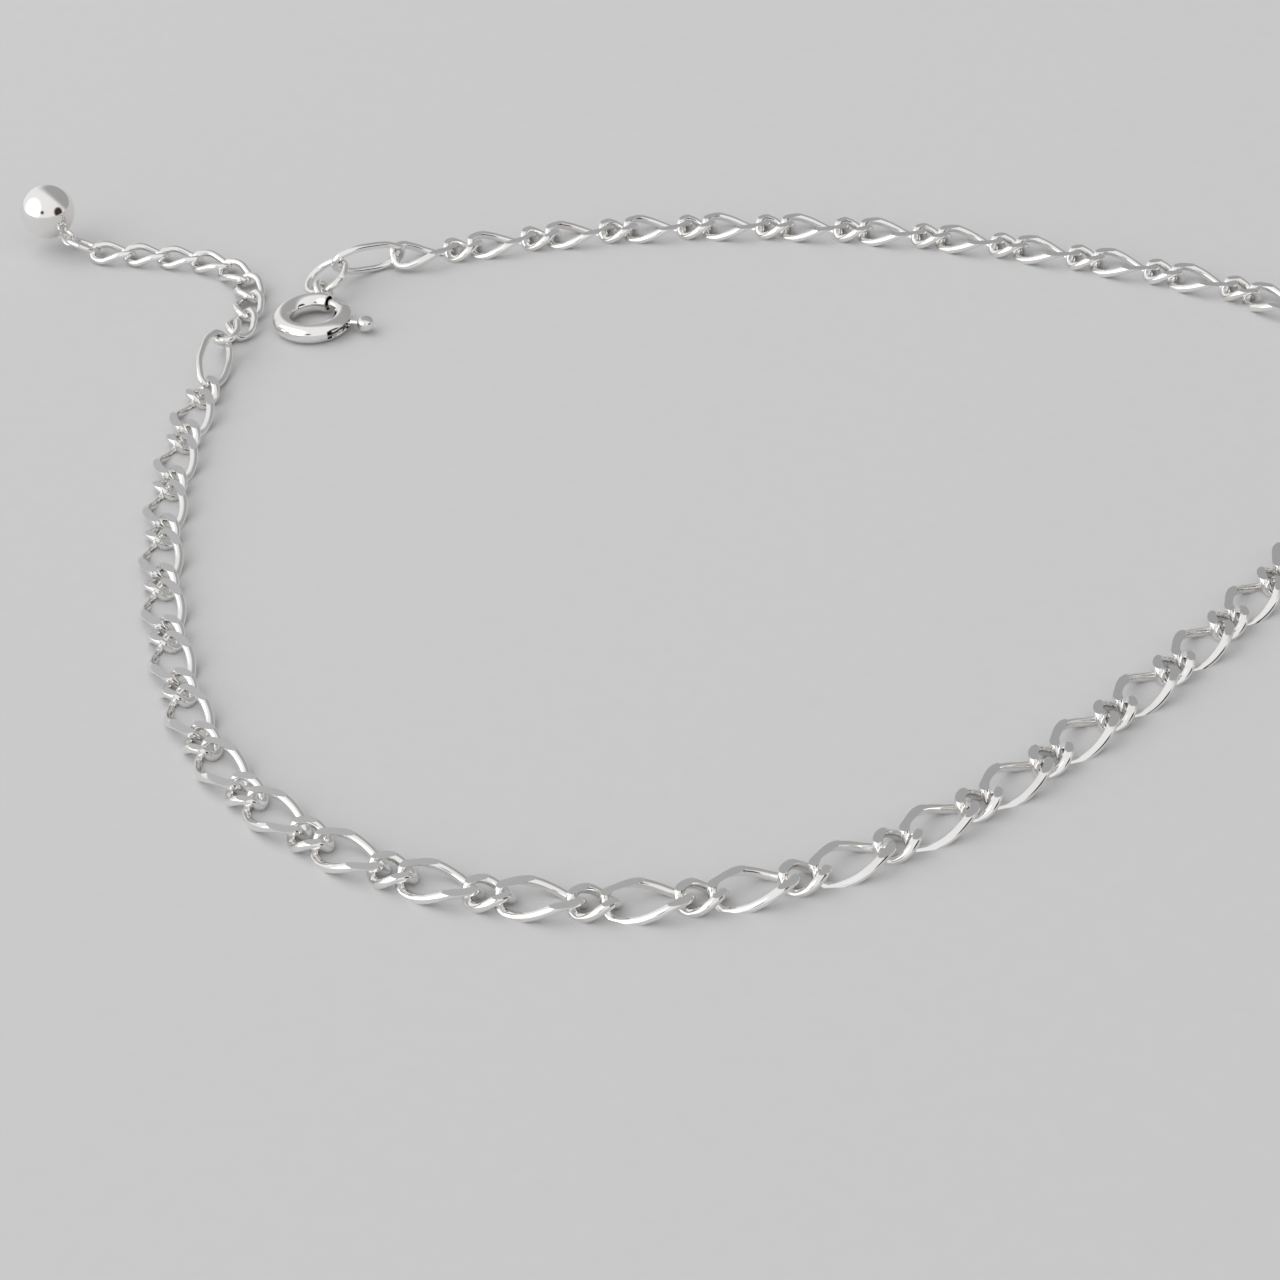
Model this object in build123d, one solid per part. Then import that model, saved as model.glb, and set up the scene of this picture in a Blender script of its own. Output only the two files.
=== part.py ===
from build123d import *
import math
import os

# A silver chain anklet lying flat with its clasp open. Millimetres and degrees.
# X runs to the right, Y away from the front of the loop and Z up. The origin is on the surface that the
# chain rests on, below the middle of the anklet.
# Every link is round wire. Main-chain links are twisted about their long axis and ground flat above and below.

# Main chain
CHAIN_WIRE = 0.58
GAP = 0.04                 # play between two links that hook each other
LONG_LENGTH = 5.15         # outside length of a long link
LONG_WIDTH = 2.9           # outside width before the twist
LONG_TWIST = 52.0          # turn of each end against the middle
LONG_ROLLS = [(12, 3.0), (27, 10.0)]   # (links, lay of their middles), counted from the extender
SHORT_LENGTH = 3.05
SHORT_WIDTH = 2.35
SHORT_TWIST = 56.0
SHORT_ROLL = 6.0
CHAIN_HEIGHT = 1.12        # thickness of the chain once it is ground

# Outlines of half a link before the twist, from its end to its middle:
# (share of the half length, share of the half width) of each corner that the wire bends round.
LONG_OUTLINE = [(1.0, 0.42), (0.88, 0.74), (0.6, 0.94), (0.2, 1.04)]
SHORT_OUTLINE = [(1.0, 0.46), (0.7, 0.92), (0.2, 1.05)]
OVAL_OUTLINE = [(1.0, 0.42), (0.45, 1.02)]
BEND_SHARE = 0.45          # how much of the shorter side next to a corner its bend takes up

# The route of the main chain, from the extender round to the clasp.
# Each row is one arc: (length in pitches, turn to the left in degrees).
ROUTE_START = (-32.42, 16.96)
ROUTE_HEADING = -100.6
ROUTE = [
    (2.41, 10),
    (4.1, 17),
    (8.69, 105),
    (2.09, 11),
    (3.52, 7),
    (3.33, 14),
    (4.34, 85),
    (2.9, 9),
    (4.37, 22),
    (3.14, 19),
    (1.56, 18),
]

# Plain oval links at the two ends of the chain
WIRE = 0.5
END_LENGTH = 5.9
END_WIDTH = 2.7

# Extender: round-wire curb links, not ground
EXTENDER_LINKS = 8         # besides the first, which leans on the end link
EXTENDER_LENGTH = 3.7
EXTENDER_WIDTH = 2.34
EXTENDER_TWIST = 45.0
EXTENDER_GAP = 0.06
EXTENDER_AXIS = 0.63       # height of the links' long axis
EXTENDER_START = (-30.82, 23.93)
EXTENDER_HEADING = 80.0
EXTENDER_ROUTE = [(4.2, 4), (9.6, 80), (9, 5)]   # (length in mm, turn to the left)

# Loose links that lean on their neighbours: centre, heading, roll about the long axis, and rise along it
LAST_LONG_LINK = dict(centre=(-17.89, 34.17, 0.78), heading=197.2, roll=0.0, rise=5.0)
END_LINK_EXTENDER = dict(centre=(-31.971, 19.296, 1.209), heading=81.4, roll=47.5, rise=9.1)
END_LINK_CLASP = dict(centre=(-21.84, 32.62, 1.45), heading=209.2, roll=-107.2, rise=9.2)
FIRST_EXTENDER_LINK = dict(centre=(-31.216, 22.846, 1.176), heading=78.3, roll=-43.6, rise=-14.3)
DROP_RING = dict(centre=(-43.24, 37.85, 0.92), heading=156.1, roll=28.8, rise=14.6)
CLASP_RING = dict(centre=(-24.82, 30.63, 1.12), heading=-137.0, roll=12.8, rise=-25.0)

# Drop: a ball with a soldered eyelet
BALL_RADIUS = 2.0
BALL_CENTRE = (-45.86, 39.46, 3.04)
EYELET_AZIMUTH = -32.7
EYELET_ELEVATION = -48.5
EYELET_RADIUS = 0.58       # to the middle of its wire
EYELET_WIRE = 0.35
EYELET_REACH = 2.42        # from the ball's centre
DROP_RING_RADIUS = 1.33
DROP_RING_WIRE = 0.4

# Spring ring clasp, in its own frame: centre at the origin, axis along Z, azimuths from +X
RING_CENTRE = (-25.54, 25.39)
RING_TILT = 2.0            # the bail's side stands a little higher
RING_RADIUS = 2.18         # to the middle of the tube
TUBE_RADIUS = 0.68
TUBE_WALL = 0.16
MOUTH_START = 12.0         # the mouth that the bolt closes
MOUTH_END = 62.0
PAST_MOUTH = 1.0           # how far the slot's cut runs into the open mouth
SLOT_START = -66.0         # the trigger's slot, open at the mouth
SLOT_WIDTH = 0.56
BAIL_AZIMUTH = 80.5
BAIL_ROLL = 54.6
BAIL_RADIUS = 0.75
BAIL_OFFSET = 0.65         # from the outside of the tube to the bail's centre
JUMP_RING_RADIUS = 1.63

# Bolt and trigger
BOLT_RADIUS = 0.33
BOLT_TAIL = -56.0
BOLT_TIP = 70.0
TRIGGER_AZIMUTH = -17.0
TRIGGER_NECK_RADIUS = 0.2
TRIGGER_REACH = 3.95       # from the ring's axis to the knob's centre
TRIGGER_KNOB_RADIUS = 0.6
TRIGGER_KNOB_HEIGHT = 0.9
TRIGGER_KNOB_ROUNDING = 0.35

LONGEST_ARC = 1.2          # of the route between two hooks, against the straight distance
PITCH = (LONG_LENGTH + SHORT_LENGTH) - 4 * CHAIN_WIRE - 2 * GAP


def bend_radii(points):
    """The largest wire bend at each inner corner that leaves a short straight on both sides."""
    radii = []
    for before, corner, after in zip(points, points[1:], points[2:]):
        arriving = Vector(*corner) - Vector(*before)
        leaving = Vector(*after) - Vector(*corner)
        turn = math.radians(arriving.get_angle(leaving))
        radii.append(BEND_SHARE * min(arriving.length, leaving.length) / math.tan(turn / 2))
    return radii


def wire_link(length, width, outline, wire, twist=0.0, roll=0.0):
    """A closed link about the origin, long along X, turned about X by an angle that changes along it."""
    half_length = (length - wire) / 2
    half_width = (width - wire) / 2

    def corner(along, across):
        angle = math.radians(roll - twist * along)
        return (half_length * along, half_width * across * math.cos(angle), half_width * across * math.sin(angle))

    def rail(side):
        left = [corner(-along, side * across) for along, across in outline]
        right = [corner(along, side * across) for along, across in reversed(outline)]
        points = [corner(-1, 0)] + left + right + [corner(1, 0)]
        path = FilletPolyline(*points, radius=bend_radii(points))
        return sweep(Plane(origin=path @ 0, z_dir=path % 0) * Circle(wire / 2), path=path)

    return rail(1) + rail(-1)


def ground_flat(link):
    """Cut a link off level above and below."""
    return link & Box(2 * LONG_LENGTH, 2 * LONG_LENGTH, CHAIN_HEIGHT)


def leaning(link, centre, heading, roll, rise):
    """A link made about the origin, put where it lies against its neighbours."""
    return Pos(*centre) * Rot(0, 0, heading) * Rot(0, -rise, 0) * Rot(roll, 0, 0) * link


def route_point(distance, start, heading, arcs):
    """The point at a distance along a route of arcs that run smoothly into each other."""
    x, y = start
    heading = math.radians(heading)
    for length, turn in arcs:
        run = min(length, distance)
        bend = math.radians(turn) / length
        x += (math.sin(heading + bend * run) - math.sin(heading)) / bend
        y -= (math.cos(heading + bend * run) - math.cos(heading)) / bend
        heading += bend * run
        distance -= run
        if distance <= 0:
            break
    return Vector(x, y, 0)


def lay_links(links, wire, gap, height, start, heading, arcs):
    """Lay (link, outside length) pairs along a route at one height, each one hooked to the link before it."""
    laid = []
    distance = 0
    here = route_point(distance, start, heading, arcs)
    for link, length in links:
        hook_to_hook = length - 2 * wire - gap
        low, high = hook_to_hook, LONGEST_ARC * hook_to_hook
        while high - low > 1e-6:
            middle = (low + high) / 2
            if (route_point(distance + middle, start, heading, arcs) - here).length < hook_to_hook:
                low = middle
            else:
                high = middle
        distance += low
        there = route_point(distance, start, heading, arcs)
        along = there - here
        middle_point = (here + there) / 2
        angle = math.degrees(math.atan2(along.Y, along.X))
        laid.append(Pos(middle_point.X, middle_point.Y, height) * Rot(0, 0, angle) * link)
        here = there
    return laid


def ring_arc(section, start, end):
    """Turn a section about Z from one azimuth to another."""
    return revolve(Rot(0, 0, start) * section, axis=Axis.Z, revolution_arc=end - start)


def tube_section(radius):
    return Plane.XZ * Pos(RING_RADIUS, 0) * Circle(radius)


def clasp_body():
    """The spring ring's tube, with its mouth, its trigger slot and its soldered bail."""
    tube = ring_arc(tube_section(TUBE_RADIUS), MOUTH_END, 360 + MOUTH_START)
    bail_reach = RING_RADIUS + TUBE_RADIUS + BAIL_OFFSET
    bail = Rot(0, 0, BAIL_AZIMUTH) * Pos(bail_reach, 0, 0) * Rot(BAIL_ROLL, 0, 0) * Torus(BAIL_RADIUS, WIRE / 2)
    bore = revolve(tube_section(TUBE_RADIUS - TUBE_WALL), axis=Axis.Z, revolution_arc=360)
    slot_depth = 2 * TUBE_RADIUS
    slot_section = Plane.XZ * Pos(RING_RADIUS + slot_depth / 2, 0) * Rectangle(slot_depth, SLOT_WIDTH)
    return tube + bail - bore - ring_arc(slot_section, SLOT_START, MOUTH_START + PAST_MOUTH)


def clasp_bolt():
    """The bolt's wire, with its trigger's neck and knob."""
    wire = ring_arc(tube_section(BOLT_RADIUS), BOLT_TAIL, BOLT_TIP)
    outward = Rot(0, 0, TRIGGER_AZIMUTH) * Pos(RING_RADIUS, 0, 0) * Rot(0, 90, 0)
    neck_length = TRIGGER_REACH - RING_RADIUS
    neck = outward * Pos(0, 0, neck_length / 2) * Cylinder(TRIGGER_NECK_RADIUS, neck_length)
    knob = Cylinder(TRIGGER_KNOB_RADIUS, TRIGGER_KNOB_HEIGHT)
    knob = fillet(knob.edges(), TRIGGER_KNOB_ROUNDING)
    knob = Rot(0, 0, TRIGGER_AZIMUTH) * Pos(TRIGGER_REACH, 0, 0) * knob
    return wire + neck + knob


def place_clasp(piece):
    """Put a piece of the clasp where the clasp lies, tilted about the lowest point of its tube."""
    height = TUBE_RADIUS + RING_RADIUS * math.sin(math.radians(RING_TILT))
    return Pos(*RING_CENTRE, height) * Rot(RING_TILT, 0, 0) * piece


def ball_drop():
    """The ball with its eyelet, which points down towards the extender."""
    eyelet = Pos(EYELET_REACH, 0, 0) * Rot(90, 0, 0) * Torus(EYELET_RADIUS, EYELET_WIRE / 2)
    towards_chain = Rot(0, 0, EYELET_AZIMUTH) * Rot(0, -EYELET_ELEVATION, 0)
    return Pos(*BALL_CENTRE) * (Sphere(BALL_RADIUS) + towards_chain * eyelet)


def save(name, solids):
    export_step(Compound(children=[solid for piece in solids for solid in piece.solids()]), f"parts/{name}.step")


def build():
    os.makedirs("parts", exist_ok=True)

    long_links = []
    for count, roll in LONG_ROLLS:
        link = ground_flat(wire_link(LONG_LENGTH, LONG_WIDTH, LONG_OUTLINE, CHAIN_WIRE, LONG_TWIST, roll))
        long_links += [link] * count
    short_link = ground_flat(wire_link(SHORT_LENGTH, SHORT_WIDTH, SHORT_OUTLINE, CHAIN_WIRE, SHORT_TWIST, SHORT_ROLL))
    order = []
    for link in long_links:
        order += [(short_link, SHORT_LENGTH), (link, LONG_LENGTH)]
    arcs = [(pitches * PITCH, turn) for pitches, turn in ROUTE]
    chain = lay_links(order, CHAIN_WIRE, GAP, CHAIN_HEIGHT / 2, ROUTE_START, ROUTE_HEADING, arcs)
    chain[-1] = leaning(long_links[-1], **LAST_LONG_LINK)
    save("short_links", chain[0::2])
    for number, link in enumerate(chain[1::2], start=1):
        save(f"long_link_{number:02d}", [link])

    end_link = wire_link(END_LENGTH, END_WIDTH, OVAL_OUTLINE, WIRE)
    save("end_link_extender", [leaning(end_link, **END_LINK_EXTENDER)])
    save("end_link_clasp", [leaning(end_link, **END_LINK_CLASP)])

    curb_link = wire_link(EXTENDER_LENGTH, EXTENDER_WIDTH, OVAL_OUTLINE, WIRE, EXTENDER_TWIST)
    extender = lay_links(
        [(curb_link, EXTENDER_LENGTH)] * EXTENDER_LINKS, WIRE, EXTENDER_GAP, EXTENDER_AXIS,
        EXTENDER_START, EXTENDER_HEADING, EXTENDER_ROUTE)
    save("extender_chain", [leaning(curb_link, **FIRST_EXTENDER_LINK)] + extender)

    save("drop_ring", [leaning(Torus(DROP_RING_RADIUS, DROP_RING_WIRE / 2), **DROP_RING)])
    save("ball_drop", [ball_drop()])

    save("clasp_jump_ring", [leaning(Torus(JUMP_RING_RADIUS, WIRE / 2), **CLASP_RING)])
    save("clasp_body", [place_clasp(clasp_body())])
    save("clasp_bolt", [place_clasp(clasp_bolt())])


build()
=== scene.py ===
import math

import bmesh
import bpy
from mathutils import Matrix, Vector


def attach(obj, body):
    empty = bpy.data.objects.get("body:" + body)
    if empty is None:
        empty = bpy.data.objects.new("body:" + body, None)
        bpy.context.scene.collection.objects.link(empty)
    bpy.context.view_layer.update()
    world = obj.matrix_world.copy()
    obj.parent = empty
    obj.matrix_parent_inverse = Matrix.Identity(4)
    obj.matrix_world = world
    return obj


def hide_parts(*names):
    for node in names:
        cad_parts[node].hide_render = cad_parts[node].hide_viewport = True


# A silver chain anklet lying open on a pale surface. Shapes are worked out in millimetres and degrees, as the
# frame's own parts are, and each finished mesh is scaled to metres. Azimuths turn to the left from +X, and
# elevations rise from level.

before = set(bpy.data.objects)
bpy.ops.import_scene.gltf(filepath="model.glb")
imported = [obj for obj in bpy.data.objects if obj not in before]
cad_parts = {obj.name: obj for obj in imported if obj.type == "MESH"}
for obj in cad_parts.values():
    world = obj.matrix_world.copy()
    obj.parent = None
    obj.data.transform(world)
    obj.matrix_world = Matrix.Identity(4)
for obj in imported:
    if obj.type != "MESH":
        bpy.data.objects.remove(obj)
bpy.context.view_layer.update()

MM = 0.001

# Main chain: twisted wire links, ground flat above and below
CHAIN_WIRE = 0.58
GAP = 0.04
REPEATS = 39
LONG_LENGTH = 5.15
LONG_WIDTH = 2.9
LONG_TWIST = 52.0
LONG_ROLLS = [(12, 3.0), (26, 10.0)]     # how many lie at which roll; one loose link comes after them
LONG_OUTLINE = [(1.0, 0.42), (0.88, 0.74), (0.6, 0.94), (0.2, 1.04)]     # along and across, as shares of half the link
SHORT_LENGTH = 3.05
SHORT_WIDTH = 2.35
SHORT_TWIST = 56.0
SHORT_ROLL = 6.0
SHORT_OUTLINE = [(1.0, 0.46), (0.7, 0.92), (0.2, 1.05)]
CHAIN_HEIGHT = 1.12

# The route of the main chain: (length in pitches, turn to the left) of each arc
ROUTE_START = (-32.42, 16.96)
ROUTE_HEADING = -100.6
ROUTE = [
    (2.41, 10), (4.1, 17), (8.69, 105), (2.09, 11), (3.52, 7), (3.33, 14),
    (4.34, 85), (2.9, 9), (4.37, 22), (3.14, 19), (1.56, 18)]
PITCH = LONG_LENGTH + SHORT_LENGTH - 4 * CHAIN_WIRE - 2 * GAP

# Plain links
WIRE = 0.5
OVAL_OUTLINE = [(1.0, 0.42), (0.45, 1.02)]
END_LENGTH = 5.9
END_WIDTH = 2.7
EXTENDER_LINKS = 8
EXTENDER_LENGTH = 3.7
EXTENDER_WIDTH = 2.34
EXTENDER_TWIST = 45.0
EXTENDER_GAP = 0.06
EXTENDER_AXIS = 0.63
EXTENDER_START = (-30.82, 23.93)
EXTENDER_HEADING = 80.0
EXTENDER_ROUTE = [(4.2, 4), (9.6, 80), (9, 5)]

# Loose links and rings: centre, heading, roll about the long axis, and rise along it
LAST_LONG_LINK = dict(centre=(-17.89, 34.17, 0.78), heading=197.2, roll=0.0, rise=5.0)
END_LINK_EXTENDER = dict(centre=(-31.971, 19.296, 1.209), heading=81.4, roll=47.5, rise=9.1)
END_LINK_CLASP = dict(centre=(-21.84, 32.62, 1.45), heading=209.2, roll=-107.2, rise=9.2)
FIRST_EXTENDER_LINK = dict(centre=(-31.216, 22.846, 1.176), heading=78.3, roll=-43.6, rise=-14.3)
DROP_RING = dict(centre=(-43.24, 37.85, 0.92), heading=156.1, roll=28.8, rise=14.6)
DROP_RING_RADIUS = 1.33
DROP_RING_WIRE = 0.4
CLASP_RING = dict(centre=(-24.82, 30.63, 1.12), heading=-137.0, roll=12.8, rise=-25.0)
JUMP_RING_RADIUS = 1.63

# Ball drop
BALL_RADIUS = 2.0
BALL_CENTRE = (-45.86, 39.46, 3.04)
EYELET_AZIMUTH = -32.7
EYELET_ELEVATION = -48.5
EYELET_RADIUS = 0.58
EYELET_WIRE = 0.35
EYELET_REACH = 2.42

# Spring ring clasp
RING_CENTRE = (-25.54, 25.39)
RING_TILT = 2.0
RING_RADIUS = 2.18
TUBE_RADIUS = 0.68
TUBE_WALL = 0.16
MOUTH_START = 12.0
MOUTH_END = 62.0
WORN_EDGE = 0.035
SLOT_START = -66.0
SLOT_PAST_MOUTH = 4.0
SLOT_WIDTH = 0.56
SLOT_REACH = (0.1, 1.5)     # outwards from the middle of the tube
BAIL_AZIMUTH = 80.5
BAIL_ROLL = 54.6
BAIL_RADIUS = 0.75
BAIL_OFFSET = 0.65
BOLT_RADIUS = 0.33
BOLT_TAIL = -56.0
BOLT_TIP = 70.0
BOLT_TIP_ROUNDING = 0.8     # of the wire's radius
TRIGGER_AZIMUTH = -17.0
TRIGGER_NECK_RADIUS = 0.2
TRIGGER_REACH = 3.95
TRIGGER_KNOB_RADIUS = 0.6
TRIGGER_KNOB_HEIGHT = 0.9
TRIGGER_KNOB_ROUNDING = 0.35

# Solder where a small ring of wire stands on the ball or on the tube
EYELET_SOLDER = dict(foot_radius=0.42, neck_radius=0.2, height=0.2)
BAIL_SOLDER = dict(foot_radius=0.45, neck_radius=0.26, height=0.26)
SOLDER_OVERLAP = 0.06
SOLDER_ROOT = 0.15
SOLDER_FLARE = 2.2

# Jump rings: half the width of the seam, where it is, and how far its ends are rounded
SEAM = 0.012
SEAM_ROUNDING = 0.06
DROP_RING_SEAM = 100.0
CLASP_RING_SEAM = 95.0

# How finely wire is drawn
WIRE_SIDES = 22
CHAIN_BEND_STEPS = 5
PLAIN_BEND_STEPS = 8
BEND_SHARE = 0.45           # how much of the shorter side at a corner its bend takes up
SLAB_WIDTH = 20.0
FLAT_FACING = 0.999         # how nearly straight up or down a flat faces
FLAT_HEIGHT = 0.499         # how far up or down it is, as a share of the thickness
ROUTE_STEP = 0.4

# Silver and card
BRIGHT_SILVER = (0.93, 0.92, 0.905, 1)
DULL_SILVER = (0.86, 0.845, 0.82, 1)
GROUND_SILVER = (0.86, 0.86, 0.865, 1)
GROUND_SILVER_DARK = (0.8, 0.8, 0.805, 1)
CARD = (0.60, 0.60, 0.605, 1)
CARD_LIGHT = (0.625, 0.625, 0.63, 1)
FLOOR_HALF_WIDTH = 8.0      # metres
SCRATCH_STRETCH = (1.0, 0.12, 1.0)
GRINDING_STRETCH = (0.25, 1.0, 1.0)
LINK_TO_LINK = 7.3          # shift in the grinding lines' noise from each link to the next

# Light, in metres and watts
KEY_LIGHT = dict(azimuth=150, elevation=52, distance=0.6, size=0.6, power=0.75)
ROOM_STRENGTH = 0.885
ROOM_COLOUR = (0.97, 0.97, 0.975)
ROOM_PATCHES = [
    # azimuth, elevation, angle within which it is full, angle at which it has faded out, colour
    (50, 22, 38, 62, (0.42, 0.42, 0.42)),            # grey wall behind and to the right
    (205, 24, 26, 46, (1.8, 1.8, 1.8)),              # bright window at the left
    (-103, 22, 3, 10, (0.08, 0.068, 0.096)),         # small dark thing in front
    (-32, 10, 13, 23, (0.06, 0.04, 0.036)),          # dark thing in front, to the right
]

# Camera
CAMERA_PLACE = (-3.52, -166.73, 107.51)
CAMERA_LENS = 86.6
CAMERA_SENSOR = 36.0
CAMERA_LOOKS_DOWN = 35.33
CAMERA_ROLL = 2.89
NEAREST_SEEN = 0.001        # metres

scene = bpy.context.scene


def tilted(angle, axis):
    return Matrix.Rotation(math.radians(angle), 4, axis)


def shifted(x, y=0, z=0):
    return Matrix.Translation((x, y, z))


# ---------------------------------------------------------------- nodes

class Value:
    """One output of a node. Sums and products of values add Math nodes to the tree."""

    def __init__(self, nodes, socket):
        self.nodes = nodes
        self.socket = socket

    def maths(self, operation, *others):
        return self.nodes.add("ShaderNodeMath", {"operation": operation}, dict(enumerate((self, *others))))

    def output(self, name):
        return Value(self.nodes, self.socket.node.outputs[name])

    def __add__(self, other):
        return self.maths("ADD", other)

    def __mul__(self, other):
        return self.maths("MULTIPLY", other)

    __radd__ = __add__

    def above(self, other):
        return self.maths("GREATER_THAN", other)

    def below(self, other):
        return self.maths("LESS_THAN", other)

    def ramp(self, low, high):
        """0 at low, rising smoothly to 1 at high."""
        return self.nodes.add("ShaderNodeMapRange", {"interpolation_type": "SMOOTHSTEP", "clamp": True}, {
            "Value": self, "From Min": low, "From Max": high})


class Nodes:
    """Adds nodes to one tree."""

    def __init__(self, tree):
        self.tree = tree

    def add(self, kind, settings=None, inputs=None):
        """A new node's first output. Settings are set before its inputs are given values or links."""
        node = self.tree.nodes.new(kind)
        for name, value in (settings or {}).items():
            setattr(node, name, value)
        for name, value in (inputs or {}).items():
            if isinstance(value, Value):
                self.tree.links.new(value.socket, node.inputs[name])
            else:
                node.inputs[name].default_value = value
        return Value(self, node.outputs[0]) if node.outputs else None

    def vector(self, x, y, z):
        return self.add("ShaderNodeCombineXYZ", inputs={"X": x, "Y": y, "Z": z})

    def vector_maths(self, operation, first, second):
        return self.add("ShaderNodeVectorMath", {"operation": operation}, {0: first, 1: second})

    def part(self, vector, axis):
        return self.add("ShaderNodeSeparateXYZ", inputs={"Vector": vector}).output(axis)

    def mix_colours(self, factor, first, second):
        """The first colour at factor 0, the second at 1."""
        mix = self.add("ShaderNodeMix", {"data_type": "RGBA"}, {0: factor, 6: first, 7: second})
        return Value(self, mix.socket.node.outputs[2])


def geometry_tree(name, *sizes):
    """A geometry tree that takes a geometry and named sizes, as (name, socket type), and gives a geometry."""
    tree = bpy.data.node_groups.new(name, "GeometryNodeTree")
    tree.interface.new_socket("Geometry", in_out="INPUT", socket_type="NodeSocketGeometry")
    tree.interface.new_socket("Geometry", in_out="OUTPUT", socket_type="NodeSocketGeometry")
    for size, kind in sizes:
        tree.interface.new_socket(size, in_out="INPUT", socket_type="NodeSocket" + kind)
    nodes = Nodes(tree)
    return nodes, nodes.add("NodeGroupInput")


def close_tree(nodes, geometry):
    nodes.add("NodeGroupOutput", inputs={"Geometry": geometry})
    return nodes.tree


# ---------------------------------------------------------------- finishes

def new_material(name):
    material = bpy.data.materials.new(name)
    material.use_nodes = True
    material.node_tree.nodes.clear()
    return material, Nodes(material.node_tree)


def surface(nodes, **inputs):
    """A Principled shader on the material's output. Underscores in the names stand for spaces."""
    shader = nodes.add("ShaderNodeBsdfPrincipled", inputs={name.replace("_", " "): v for name, v in inputs.items()})
    nodes.add("ShaderNodeOutputMaterial", inputs={"Surface": shader})


def noise(nodes, place, scale, detail=2.0, roughness=0.5):
    return nodes.add("ShaderNodeTexNoise", {"noise_dimensions": "3D"}, {
        "Vector": place, "Scale": scale, "Detail": detail, "Roughness": roughness})


def bumps(nodes, height, depth, strength):
    return nodes.add("ShaderNodeBump", inputs={"Strength": strength, "Distance": depth * MM, "Height": height})


def polished_silver():
    """Bright silver with faint handling scratches and a slightly uneven polish."""
    material, nodes = new_material("polished silver")
    place = nodes.add("ShaderNodeTexCoord").output("Object")
    polish = noise(nodes, place, scale=900.0, detail=3.0)
    haze = noise(nodes, place, scale=260.0)
    scratches = noise(nodes, nodes.vector_maths("MULTIPLY", place, SCRATCH_STRETCH), scale=9000.0)
    surface(
        nodes,
        Base_Color=nodes.mix_colours(haze.ramp(0.45, 0.75), BRIGHT_SILVER, DULL_SILVER),
        Metallic=1.0,
        Roughness=0.05 + polish * 0.05,
        Normal=bumps(nodes, scratches * 0.5 + polish * 0.5, depth=0.02, strength=0.05),
    )
    return material


def ground_silver():
    """The flats of the links: a satin face with fine grinding lines along the link."""
    material, nodes = new_material("ground silver")
    place = nodes.add("ShaderNodeAttribute", {"attribute_name": "link_place"}).output("Vector")
    number = nodes.add("ShaderNodeAttribute", {"attribute_name": "link_number"}).output("Fac")
    place = nodes.vector_maths("ADD", place, nodes.vector(0.0, 0.0, number * LINK_TO_LINK))
    lines = noise(
        nodes, nodes.vector_maths("MULTIPLY", place, GRINDING_STRETCH), scale=22.0, detail=3.0, roughness=0.6)
    grain = noise(nodes, place, scale=30.0, roughness=0.6)
    surface(
        nodes,
        Base_Color=nodes.mix_colours(grain.ramp(0.3, 0.7), GROUND_SILVER, GROUND_SILVER_DARK),
        Metallic=1.0,
        Roughness=0.26 + lines * 0.12,
        Normal=bumps(nodes, lines * 0.7 + grain * 0.3, depth=0.03, strength=0.18),
    )
    return material


def floor_card():
    material, nodes = new_material("pale card")
    place = nodes.add("ShaderNodeTexCoord").output("Object")
    fibre = noise(nodes, place, scale=700.0, detail=3.0, roughness=0.6)
    surface(
        nodes,
        Base_Color=nodes.mix_colours(fibre, CARD, CARD_LIGHT),
        Roughness=0.75,
        Specular_IOR_Level=0.25,
    )
    return material


POLISHED = polished_silver()
GROUND = ground_silver()


# ---------------------------------------------------------------- wire links

def bend_radii(points):
    """The largest wire bend at each corner of a closed outline that leaves a short straight on both sides."""
    radii = []
    for number, corner in enumerate(points):
        arriving = corner - points[number - 1]
        leaving = points[(number + 1) % len(points)] - corner
        radii.append(BEND_SHARE * min(arriving.length, leaving.length) / math.tan(arriving.angle(leaving) / 2))
    return radii


def link_outline(name, length, width, outline, wire, twist=0.0, roll=0.0):
    """The corners that a link's wire bends round, turned about X by an angle that changes along it.

    The outline is one quarter of the link, from its end to its middle.
    """
    half_length = (length - wire) / 2
    half_width = (width - wire) / 2

    def corner(along, across):
        angle = math.radians(roll - twist * along)
        across *= half_width
        return Vector((half_length * along, across * math.cos(angle), across * math.sin(angle)))

    quarter = [corner(along, across) for along, across in outline]
    second = [corner(-along, across) for along, across in reversed(outline)]
    third = [corner(-along, -across) for along, across in outline]
    fourth = [corner(along, -across) for along, across in reversed(outline)]
    points = quarter + second + third + fourth
    mesh = bpy.data.meshes.new(name)
    mesh.from_pydata(points, [(n, (n + 1) % len(points)) for n in range(len(points))], [])
    bend = mesh.attributes.new("bend", "FLOAT", "POINT")
    bend.data.foreach_set("value", bend_radii(points))
    return bpy.data.objects.new(name, mesh)


def bent_wire_group():
    """Wire bent round the corners of an outline."""
    nodes, outline = geometry_tree("bent wire", ("Wire", "Float"), ("Sides", "Int"), ("Bend Steps", "Int"))
    curve = nodes.add("GeometryNodeMeshToCurve", inputs={"Mesh": outline})
    radius = nodes.add("GeometryNodeInputNamedAttribute", {"data_type": "FLOAT"}, {"Name": "bend"})
    curve = nodes.add("GeometryNodeFilletCurve", {"mode": "POLY"}, {
        "Curve": curve, "Count": outline.output("Bend Steps"), "Radius": radius, "Limit Radius": True})
    section = nodes.add("GeometryNodeCurvePrimitiveCircle", {"mode": "RADIUS"}, {
        "Resolution": outline.output("Sides"), "Radius": outline.output("Wire") * 0.5})
    wire = nodes.add("GeometryNodeCurveToMesh", inputs={"Curve": curve, "Profile Curve": section})
    return close_tree(nodes, wire)


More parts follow.
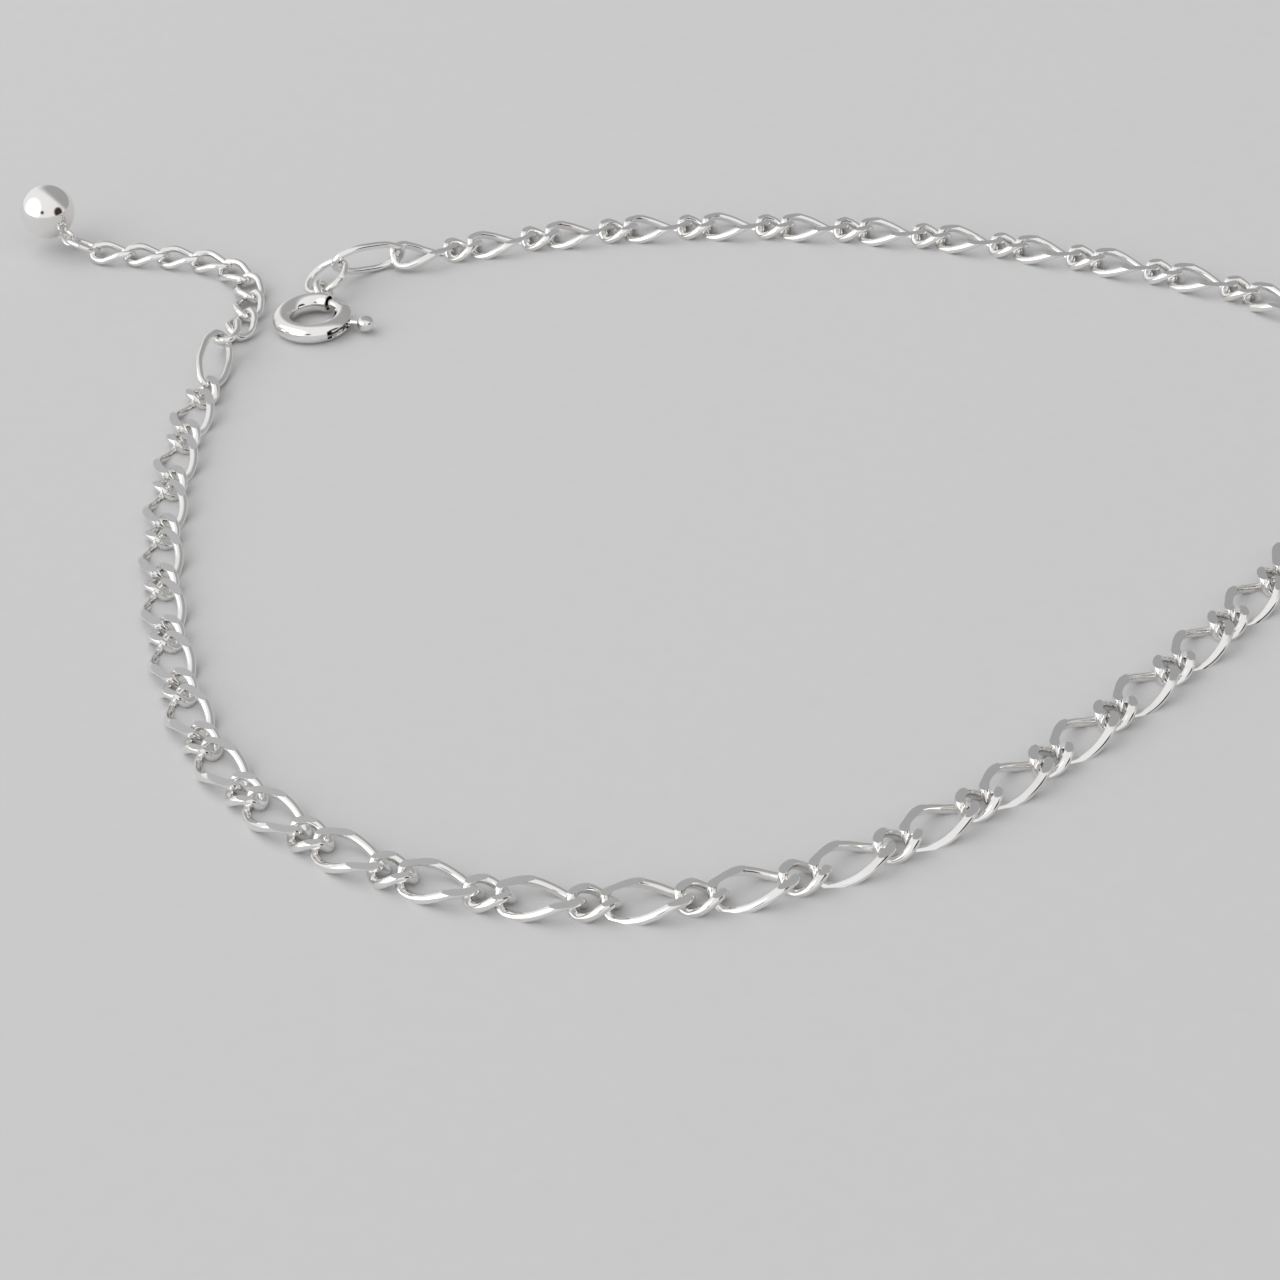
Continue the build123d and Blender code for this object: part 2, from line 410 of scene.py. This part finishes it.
def ground_flat_group():
    """A link cut off level above and below. Its flats are marked."""
    nodes, link = geometry_tree("ground flat", ("Thickness", "Float"))
    thickness = link.output("Thickness")
    slab = nodes.add("GeometryNodeMeshCube", inputs={"Size": nodes.vector(SLAB_WIDTH, SLAB_WIDTH, thickness)})
    cut = nodes.add("GeometryNodeMeshBoolean", {"operation": "INTERSECT", "solver": "EXACT"})
    for mesh in (link, slab):
        nodes.tree.links.new(mesh.socket, cut.socket.node.inputs["Mesh 2"])
    height = nodes.part(nodes.add("GeometryNodeInputPosition"), "Z")
    facing_up = nodes.part(nodes.add("GeometryNodeInputNormal"), "Z")
    flat = facing_up.maths("ABSOLUTE").above(FLAT_FACING) * height.maths("ABSOLUTE").above(thickness * FLAT_HEIGHT)
    marked = nodes.add("GeometryNodeStoreNamedAttribute", {"data_type": "FLOAT", "domain": "FACE"}, {
        "Geometry": cut, "Name": "flat", "Value": flat})
    return close_tree(nodes, marked)


def finish_tree(nodes, links, ground):
    """Real meshes of smooth polished wire. The flats of ground links have a sharp rim and their own finish."""
    links = nodes.add("GeometryNodeRealizeInstances", inputs={"Geometry": links})
    links = nodes.add("GeometryNodeSetShadeSmooth", {"domain": "FACE"}, {"Geometry": links, "Shade Smooth": True})
    if ground:
        flat = nodes.add("GeometryNodeInputNamedAttribute", {"data_type": "FLOAT"}, {"Name": "flat"})
        on_edge = nodes.add("GeometryNodeFieldOnDomain", {"data_type": "FLOAT", "domain": "EDGE"}, {0: flat})
        rim = on_edge.above(0.01) * on_edge.below(0.99)     # half way, where only one face is flat
        links = nodes.add("GeometryNodeSetShadeSmooth", {"domain": "EDGE"}, {
            "Geometry": links, "Selection": rim, "Shade Smooth": False})
    links = nodes.add("GeometryNodeSetMaterial", inputs={"Geometry": links, "Material": POLISHED})
    if ground:
        links = nodes.add("GeometryNodeSetMaterial", inputs={
            "Geometry": links, "Selection": flat.above(0.5), "Material": GROUND})
    return close_tree(nodes, links)


LINK_SIZES = [("Wire", "Float"), ("Sides", "Int"), ("Bend Steps", "Int"), ("Thickness", "Float")]


def shaped_link(nodes, outline, sizes, ground):
    """A link of bent wire that remembers the places on it."""
    link = nodes.add("GeometryNodeGroup", {"node_tree": BENT_WIRE}, {
        "Geometry": outline, "Wire": sizes.output("Wire"), "Sides": sizes.output("Sides"),
        "Bend Steps": sizes.output("Bend Steps")})
    if ground:
        link = nodes.add("GeometryNodeGroup", {"node_tree": GROUND_FLAT}, {
            "Geometry": link, "Thickness": sizes.output("Thickness")})
    return nodes.add("GeometryNodeStoreNamedAttribute", {"data_type": "FLOAT_VECTOR", "domain": "POINT"}, {
        "Geometry": link, "Name": "link_place", "Value": nodes.add("GeometryNodeInputPosition")})


def laid_links_tree(name, ground):
    """Links laid along a route, each one hooked to its neighbours."""
    nodes, route = geometry_tree(
        name, *LINK_SIZES, ("Outline", "Object"), ("Height", "Float"), ("Links", "Int"), ("First Hook", "Float"),
        ("Pitch", "Float"), ("Hook To Hook", "Float"))
    outline = nodes.add("GeometryNodeObjectInfo", inputs={"Object": route.output("Outline")}).output("Geometry")
    link = shaped_link(nodes, outline, route, ground)
    index = nodes.add("GeometryNodeInputIndex")
    first_hook = route.output("First Hook") + index * route.output("Pitch")

    def on_route(distance):
        sample = nodes.add("GeometryNodeSampleCurve", {"mode": "LENGTH", "use_all_curves": True}, {
            "Curves": route, "Length": distance})
        return sample.output("Position")

    behind = on_route(first_hook)
    ahead = on_route(first_hook + route.output("Hook To Hook"))
    along = nodes.vector_maths("SUBTRACT", ahead, behind)
    middle = nodes.add("ShaderNodeVectorMath", {"operation": "SCALE"}, {
        0: nodes.vector_maths("ADD", ahead, behind), "Scale": 0.5})
    middle = nodes.vector_maths("ADD", middle, nodes.vector(0.0, 0.0, route.output("Height")))
    points = nodes.add("GeometryNodePoints", inputs={"Count": route.output("Links"), "Position": middle})
    heading = nodes.add("FunctionNodeAlignRotationToVector", {"axis": "X", "pivot_axis": "Z"}, {"Vector": along})
    links = nodes.add("GeometryNodeInstanceOnPoints", inputs={
        "Points": points, "Instance": link, "Rotation": heading})
    links = nodes.add("GeometryNodeStoreNamedAttribute", {"data_type": "FLOAT", "domain": "INSTANCE"}, {
        "Geometry": links, "Name": "link_number", "Value": nodes.add("GeometryNodeInputIndex")})
    return finish_tree(nodes, links, ground)


def loose_link_tree(name, ground):
    """One link from its outline."""
    nodes, outline = geometry_tree(name, *LINK_SIZES)
    return finish_tree(nodes, shaped_link(nodes, outline, outline, ground), ground)


BENT_WIRE = bent_wire_group()
GROUND_FLAT = ground_flat_group()
GROUND_LINKS = laid_links_tree("ground links on a route", True)
PLAIN_LINKS = laid_links_tree("plain links on a route", False)
GROUND_LINK = loose_link_tree("loose ground link", True)
PLAIN_LINK = loose_link_tree("loose plain link", False)


def grown(name, base, tree, placed=Matrix.Identity(4), **inputs):
    """The plain mesh that a geometry tree makes from an object, put in place and scaled to metres."""
    scene.collection.objects.link(base)
    modifier = base.modifiers.new(name, "NODES")
    modifier.node_group = tree
    identifiers = {item.name: item.identifier for item in tree.interface.items_tree if item.in_out == "INPUT"}
    for label, value in inputs.items():
        modifier[identifiers[label.replace("_", " ")]] = value
    bpy.context.view_layer.update()
    mesh = bpy.data.meshes.new_from_object(base.evaluated_get(bpy.context.evaluated_depsgraph_get()))
    mesh.name = name
    mesh.transform(Matrix.Scale(MM, 4) @ placed)
    bpy.data.objects.remove(base)
    piece = bpy.data.objects.new(name, mesh)
    scene.collection.objects.link(piece)
    return piece


def settle(piece, body, slot, *nodes):
    """Give a finished piece its body and hide the frame's nodes that it stands for. The finish named for it is not
    used.
    """
    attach(piece, body)
    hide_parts(*nodes)


def route_curve(name, start, heading, arcs):
    """A route of arcs that run smoothly into each other, from (length, turn to the left) rows."""
    x, y = start
    heading = math.radians(heading)
    points = [(x, y)]
    for length, turn in arcs:
        steps = math.ceil(length / ROUTE_STEP)
        bend = math.radians(turn) / length
        for _ in range(steps):
            after = heading + bend * length / steps
            x += (math.sin(after) - math.sin(heading)) / bend
            y -= (math.cos(after) - math.cos(heading)) / bend
            heading = after
            points.append((x, y))
    curve = bpy.data.curves.new(name, "CURVE")
    curve.dimensions = "3D"
    spline = curve.splines.new("POLY")
    spline.points.add(len(points) - 1)
    for point, (px, py) in zip(spline.points, points):
        point.co = (px, py, 0.0, 1.0)
    return bpy.data.objects.new(name, curve)


def leaning(centre, heading, roll, rise):
    """The place of a loose link or ring that was made about the origin."""
    return shifted(*centre) @ tilted(heading, "Z") @ tilted(-rise, "Y") @ tilted(roll, "X")


def make_chain():
    size = dict(Wire=CHAIN_WIRE, Sides=WIRE_SIDES, Bend_Steps=CHAIN_BEND_STEPS, Thickness=CHAIN_HEIGHT)
    arcs = [(pitches * PITCH, turn) for pitches, turn in ROUTE]
    short_reach = SHORT_LENGTH - 2 * CHAIN_WIRE - GAP

    def laid(name, outline, count, first_hook, hook_to_hook):
        route = route_curve("route", ROUTE_START, ROUTE_HEADING, arcs)
        links = grown(
            name, route, GROUND_LINKS, Outline=outline, Height=CHAIN_HEIGHT / 2, Links=count, Pitch=PITCH,
            First_Hook=first_hook, Hook_To_Hook=hook_to_hook, **size)
        bpy.data.objects.remove(outline)
        return links

    def long_outline(roll):
        return link_outline("long link", LONG_LENGTH, LONG_WIDTH, LONG_OUTLINE, CHAIN_WIRE, LONG_TWIST, roll)

    before = 0
    for count, roll in LONG_ROLLS:
        name = f"long_links_from_{before + 1}"
        links = laid(name, long_outline(roll), count, short_reach + before * PITCH, PITCH - short_reach)
        nodes = [f"long_link_{before + n:02d}" for n in range(1, count + 1)]
        settle(links, "anklet", "ground_silver", *nodes)
        before += count
    last = grown("last_long_link", long_outline(roll), GROUND_LINK, leaning(**LAST_LONG_LINK), **size)
    settle(last, "anklet", "ground_silver", f"long_link_{REPEATS}")

    outline = link_outline("short link", SHORT_LENGTH, SHORT_WIDTH, SHORT_OUTLINE, CHAIN_WIRE, SHORT_TWIST, SHORT_ROLL)
    settle(laid("short_links_wire", outline, REPEATS, 0.0, short_reach), "anklet", "ground_silver", "short_links")


def make_plain_links():
    size = dict(Wire=WIRE, Sides=WIRE_SIDES, Bend_Steps=PLAIN_BEND_STEPS)
    for name, place in (("end_link_extender", END_LINK_EXTENDER), ("end_link_clasp", END_LINK_CLASP)):
        outline = link_outline(name, END_LENGTH, END_WIDTH, OVAL_OUTLINE, WIRE)
        link = grown(name + "_wire", outline, PLAIN_LINK, leaning(**place), **size)
        settle(link, "anklet", "polished_silver", name)

    curb = (EXTENDER_LENGTH, EXTENDER_WIDTH, OVAL_OUTLINE, WIRE, EXTENDER_TWIST)
    outline = link_outline("curb link", *curb)
    first = grown("extender_first_link", outline, PLAIN_LINK, leaning(**FIRST_EXTENDER_LINK), **size)
    settle(first, "anklet", "polished_silver", "extender_chain")
    outline = link_outline("curb link outline", *curb)
    route = route_curve("route", EXTENDER_START, EXTENDER_HEADING, EXTENDER_ROUTE)
    reach = EXTENDER_LENGTH - 2 * WIRE - EXTENDER_GAP
    links = grown(
        "extender_links", route, PLAIN_LINKS, Outline=outline, Height=EXTENDER_AXIS, Links=EXTENDER_LINKS,
        First_Hook=0.0, Pitch=reach, Hook_To_Hook=reach, **size)
    settle(links, "anklet", "polished_silver", "extender_chain")
    bpy.data.objects.remove(outline)


# ---------------------------------------------------------------- rings, ball and clasp

def mesh_object(name, bm, placed, smooth_below=40.0):
    """A closed mesh as a finished piece of polished silver: smooth except at its sharp edges, in metres."""
    bmesh.ops.recalc_face_normals(bm, faces=bm.faces)
    for face in bm.faces:
        face.smooth = True
    for edge in bm.edges:
        edge.smooth = len(edge.link_faces) == 2 and edge.calc_face_angle(0.0) < math.radians(smooth_below)
    mesh = bpy.data.meshes.new(name)
    bm.to_mesh(mesh)
    bm.free()
    mesh.transform(Matrix.Scale(MM, 4) @ placed)
    mesh.materials.append(POLISHED)
    piece = bpy.data.objects.new(name, mesh)
    scene.collection.objects.link(piece)
    return piece


def around(radius, azimuth, height):
    """The point at a distance from Z, with the azimuth in radians."""
    return radius * math.cos(azimuth), radius * math.sin(azimuth), height


def join_rings(bm, near, far):
    """Faces between two rings of corners."""
    for n in range(len(near)):
        m = (n + 1) % len(near)
        bm.faces.new((near[n], near[m], far[m], far[n]))


def sweep_loops(bm, loops, closed):
    """Faces between loops of points, with end caps unless the row of loops is closed."""
    rings = [[bm.verts.new(point) for point in loop] for loop in loops]
    for near, far in zip(rings, rings[1:]):
        join_rings(bm, near, far)
    if closed:
        join_rings(bm, rings[-1], rings[0])
    else:
        bm.faces.new(rings[0][::-1])
        bm.faces.new(rings[-1])


def round_section(radius, sides):
    angles = [math.tau * n / sides for n in range(sides)]
    return [(radius * math.cos(angle), radius * math.sin(angle)) for angle in angles]


def section_at(section, ring_radius, azimuth):
    """A section, as (outwards, upwards) points, at one place on a ring about Z."""
    return [around(ring_radius + out, math.radians(azimuth), up) for out, up in section]


def ring_arc(bm, radius, section, start, end, steps, closed=False):
    """A section turned about Z from one azimuth to another."""
    stations = [start + (end - start) * n / steps for n in range(steps if closed else steps + 1)]
    sweep_loops(bm, [section_at(section, radius, azimuth) for azimuth in stations], closed)


def wire_arc(bm, ring_radius, wire_radius, start, end, rounding, steps, sides=24):
    """An arc of wire with softly rounded ends. The rounding is a share of the wire's radius."""
    tip_steps = 4
    tip = []
    reach = math.degrees(rounding * wire_radius / ring_radius)
    for n in range(tip_steps + 1):
        angle = math.pi / 2 * n / tip_steps
        tip.append((reach * (1 - math.cos(angle)), 1 - rounding + rounding * math.sin(angle)))
    stations = [(start + back, share) for back, share in tip]
    stations += [(start + (end - start) * n / steps, 1.0) for n in range(1, steps)]
    stations += [(end - back, share) for back, share in reversed(tip)]
    sweep_loops(bm, [
        section_at(round_section(wire_radius * share, sides), ring_radius, azimuth) for azimuth, share in stations],
        closed=False)


def lathed(bm, profile, placed, steps):
    """A solid turned about Z from a profile of (radius, height) rows that starts and ends on the axis."""
    first, *rows, last = profile
    bottom = bm.verts.new(placed @ Vector((0.0, 0.0, first[1])))
    top = bm.verts.new(placed @ Vector((0.0, 0.0, last[1])))
    rings = []
    for radius, height in rows:
        points = [around(radius, math.tau * n / steps, height) for n in range(steps)]
        rings.append([bm.verts.new(placed @ Vector(point)) for point in points])
    for near, far in zip(rings, rings[1:]):
        join_rings(bm, near, far)
    for n in range(steps):
        m = (n + 1) % steps
        bm.faces.new((bottom, rings[0][m], rings[0][n]))
        bm.faces.new((top, rings[-1][n], rings[-1][m]))


def make_jump_ring(name, radius, wire, place, seam_azimuth, node):
    """A ring of wire with the fine seam where it was closed."""
    bm = bmesh.new()
    seam = math.degrees(SEAM / radius)
    wire_arc(bm, radius, wire / 2, seam_azimuth + seam, seam_azimuth + 360 - seam, SEAM_ROUNDING, steps=90)
    settle(mesh_object(name, bm, leaning(**place)), "anklet", "polished_silver", node)


def solder_fillet(bm, placed, foot_radius, neck_radius, height):
    """A flared drop of solder round a neck of wire that stands along X."""
    steps = 8
    rows = [(0.0, -SOLDER_ROOT), (foot_radius, -SOLDER_ROOT)]
    for n in range(steps + 1):
        share = n / steps
        rows.append((neck_radius + (foot_radius - neck_radius) * (1 - share) ** SOLDER_FLARE, height * share))
    rows.append((0.0, height))
    lathed(bm, rows, placed @ tilted(90, "Y"), steps=28)


def make_ball():
    """The ball, and its eyelet of wire in a drop of solder. The eyelet stands along X before it is aimed."""
    aim = tilted(EYELET_AZIMUTH, "Z") @ tilted(-EYELET_ELEVATION, "Y")
    placed = shifted(*BALL_CENTRE) @ aim
    bm = bmesh.new()
    bmesh.ops.create_icosphere(bm, subdivisions=5, radius=BALL_RADIUS)
    settle(mesh_object("ball", bm, placed), "anklet", "polished_silver", "ball_drop")

    bm = bmesh.new()
    ring_arc(bm, EYELET_RADIUS, round_section(EYELET_WIRE / 2, sides=20), 0, 360, steps=64, closed=True)
    bmesh.ops.transform(bm, matrix=shifted(EYELET_REACH) @ tilted(90, "X"), verts=bm.verts)
    solder_fillet(bm, shifted(BALL_RADIUS - SOLDER_OVERLAP), **EYELET_SOLDER)
    settle(mesh_object("ball_eyelet", bm, placed), "anklet", "polished_silver", "ball_drop")


def clasp_place():
    """The place of the clasp, resting on the lowest point of its tilted ring."""
    height = TUBE_RADIUS + RING_RADIUS * math.sin(math.radians(RING_TILT))
    return shifted(*RING_CENTRE, height) @ tilted(RING_TILT, "X")


def loose_solid(name, bm):
    """A closed mesh to cut with or to cut into, in millimetres."""
    mesh = bpy.data.meshes.new(name)
    bmesh.ops.recalc_face_normals(bm, faces=bm.faces)
    bm.to_mesh(mesh)
    bm.free()
    solid = bpy.data.objects.new(name, mesh)
    scene.collection.objects.link(solid)
    return solid


def make_clasp_tube():
    """The hollow ring with its mouth, and the slot that the trigger runs in, with softly worn edges."""
    bm = bmesh.new()
    ring_arc(bm, RING_RADIUS, round_section(TUBE_RADIUS, sides=48), MOUTH_END, 360 + MOUTH_START, steps=120)
    tube = loose_solid("clasp tube", bm)
    bm = bmesh.new()
    ring_arc(bm, RING_RADIUS, round_section(TUBE_RADIUS - TUBE_WALL, sides=40), 0, 360, steps=120, closed=True)
    bore = loose_solid("bore", bm)
    bm = bmesh.new()
    inner, outer = SLOT_REACH
    half = SLOT_WIDTH / 2
    slot_section = [(inner, -half), (outer, -half), (outer, half), (inner, half)]
    ring_arc(bm, RING_RADIUS, slot_section, SLOT_START, MOUTH_START + SLOT_PAST_MOUTH, steps=40)
    slot = loose_solid("trigger slot", bm)
    for cutter in (bore, slot):
        cut = tube.modifiers.new(cutter.name, "BOOLEAN")
        cut.operation = "DIFFERENCE"
        cut.solver = "EXACT"
        cut.object = cutter
    edges = tube.modifiers.new("worn edges", "BEVEL")
    edges.width = WORN_EDGE
    edges.segments = 2
    edges.limit_method = "ANGLE"
    edges.angle_limit = math.radians(50)
    bpy.context.view_layer.update()
    evaluated = tube.evaluated_get(bpy.context.evaluated_depsgraph_get())
    bm = bmesh.new()
    bm.from_mesh(bpy.data.meshes.new_from_object(evaluated))
    bmesh.ops.remove_doubles(bm, verts=bm.verts, dist=1e-4)
    for solid in (tube, bore, slot):
        bpy.data.objects.remove(solid)
    settle(mesh_object("clasp_tube", bm, clasp_place(), smooth_below=35.0), "anklet", "polished_silver", "clasp_body")


def make_clasp_bail():
    """The small ring that the clasp hangs from, in a drop of solder on the tube."""
    bm = bmesh.new()
    ring_arc(bm, BAIL_RADIUS, round_section(WIRE / 2, sides=24), 0, 360, steps=72, closed=True)
    solder_fillet(bm, shifted(-BAIL_OFFSET - SOLDER_OVERLAP), **BAIL_SOLDER)
    reach = RING_RADIUS + TUBE_RADIUS + BAIL_OFFSET
    place = clasp_place() @ tilted(BAIL_AZIMUTH, "Z") @ shifted(reach)
    bail = mesh_object("clasp_bail", bm, place @ tilted(BAIL_ROLL, "X"))
    settle(bail, "anklet", "polished_silver", "clasp_body")


def make_clasp_bolt():
    """The wire that closes the mouth, with the trigger's neck and knob."""
    bm = bmesh.new()
    wire_arc(bm, RING_RADIUS, BOLT_RADIUS, BOLT_TAIL, BOLT_TIP, BOLT_TIP_ROUNDING, steps=60)
    outwards = tilted(TRIGGER_AZIMUTH, "Z")
    neck_length = TRIGGER_REACH - RING_RADIUS
    neck = [(0, 0), (TRIGGER_NECK_RADIUS, 0), (TRIGGER_NECK_RADIUS, neck_length), (0, neck_length)]
    lathed(bm, neck, outwards @ shifted(RING_RADIUS) @ tilted(90, "Y"), steps=20)
    half = TRIGGER_KNOB_HEIGHT / 2
    rounding = TRIGGER_KNOB_ROUNDING
    corner_steps = 8
    corner = []
    for n in range(corner_steps + 1):
        angle = math.radians(90 * n / corner_steps)
        radius = TRIGGER_KNOB_RADIUS - rounding + rounding * math.sin(angle)
        corner.append((radius, half - rounding + rounding * math.cos(angle)))
    below = [(radius, -height) for radius, height in corner]
    knob = [(0, -half), *below, *reversed(corner), (0, half)]
    lathed(bm, knob, outwards @ shifted(TRIGGER_REACH), steps=40)
    settle(mesh_object("clasp_bolt_wire", bm, clasp_place()), "bolt", "polished_silver", "clasp_bolt")


make_chain()
make_plain_links()
make_jump_ring("drop_ring_wire", DROP_RING_RADIUS, DROP_RING_WIRE, DROP_RING, DROP_RING_SEAM, "drop_ring")
make_jump_ring("clasp_ring_wire", JUMP_RING_RADIUS, WIRE, CLASP_RING, CLASP_RING_SEAM, "clasp_jump_ring")
make_ball()
make_clasp_tube()
make_clasp_bail()
make_clasp_bolt()


# ---------------------------------------------------------------- floor, light and camera

def make_floor():
    bm = bmesh.new()
    bmesh.ops.create_grid(bm, x_segments=1, y_segments=1, size=FLOOR_HALF_WIDTH)
    mesh = bpy.data.meshes.new("floor")
    bm.to_mesh(mesh)
    bm.free()
    mesh.materials.append(floor_card())
    floor = bpy.data.objects.new("floor", mesh)
    scene.collection.objects.link(floor)


def direction(azimuth, elevation):
    """The unit vector towards an azimuth and elevation."""
    azimuth, elevation = math.radians(azimuth), math.radians(elevation)
    return Vector((
        math.cos(elevation) * math.cos(azimuth), math.cos(elevation) * math.sin(azimuth), math.sin(elevation)))


def soft_light(name, azimuth, elevation, distance, size, power):
    """A round lamp that shines on the origin and has no glint of its own."""
    lamp = bpy.data.lights.new(name, "AREA")
    lamp.shape = "DISK"
    lamp.size = size
    lamp.energy = power
    light = bpy.data.objects.new(name, lamp)
    light.location = direction(azimuth, elevation) * distance
    light.rotation_euler = direction(azimuth, elevation).to_track_quat("Z", "Y").to_euler()
    light.visible_glossy = False
    scene.collection.objects.link(light)


def make_room():
    """A pale room: grey behind and to the right, a bright window at the left, and two dark things in front."""
    world = bpy.data.worlds.new("room")
    world.use_nodes = True
    world.node_tree.nodes.clear()
    scene.world = world
    nodes = Nodes(world.node_tree)
    ray = nodes.add("ShaderNodeTexCoord")
    colour = (*ROOM_COLOUR, 1)
    for azimuth, elevation, inner, outer, patch in ROOM_PATCHES:
        alignment = nodes.vector_maths("DOT_PRODUCT", ray, direction(azimuth, elevation)).output("Value")
        share = alignment.ramp(math.cos(math.radians(outer)), math.cos(math.radians(inner)))
        colour = nodes.mix_colours(share, colour, (*patch, 1))
    background = nodes.add("ShaderNodeBackground", inputs={"Color": colour, "Strength": ROOM_STRENGTH})
    nodes.add("ShaderNodeOutputWorld", inputs={"Surface": background})


def make_camera():
    camera = bpy.data.cameras.new("camera")
    camera.sensor_width = CAMERA_SENSOR
    camera.lens = CAMERA_LENS
    camera.clip_start = NEAREST_SEEN
    viewer = bpy.data.objects.new("camera", camera)
    place = shifted(*Vector(CAMERA_PLACE) * MM)
    viewer.matrix_world = place @ tilted(90 - CAMERA_LOOKS_DOWN, "X") @ tilted(-CAMERA_ROLL, "Z")
    scene.collection.objects.link(viewer)
    scene.camera = viewer


make_floor()
soft_light("key", **KEY_LIGHT)
make_room()
make_camera()
scene.view_settings.view_transform = "Standard"

bpy.context.view_layer.update()
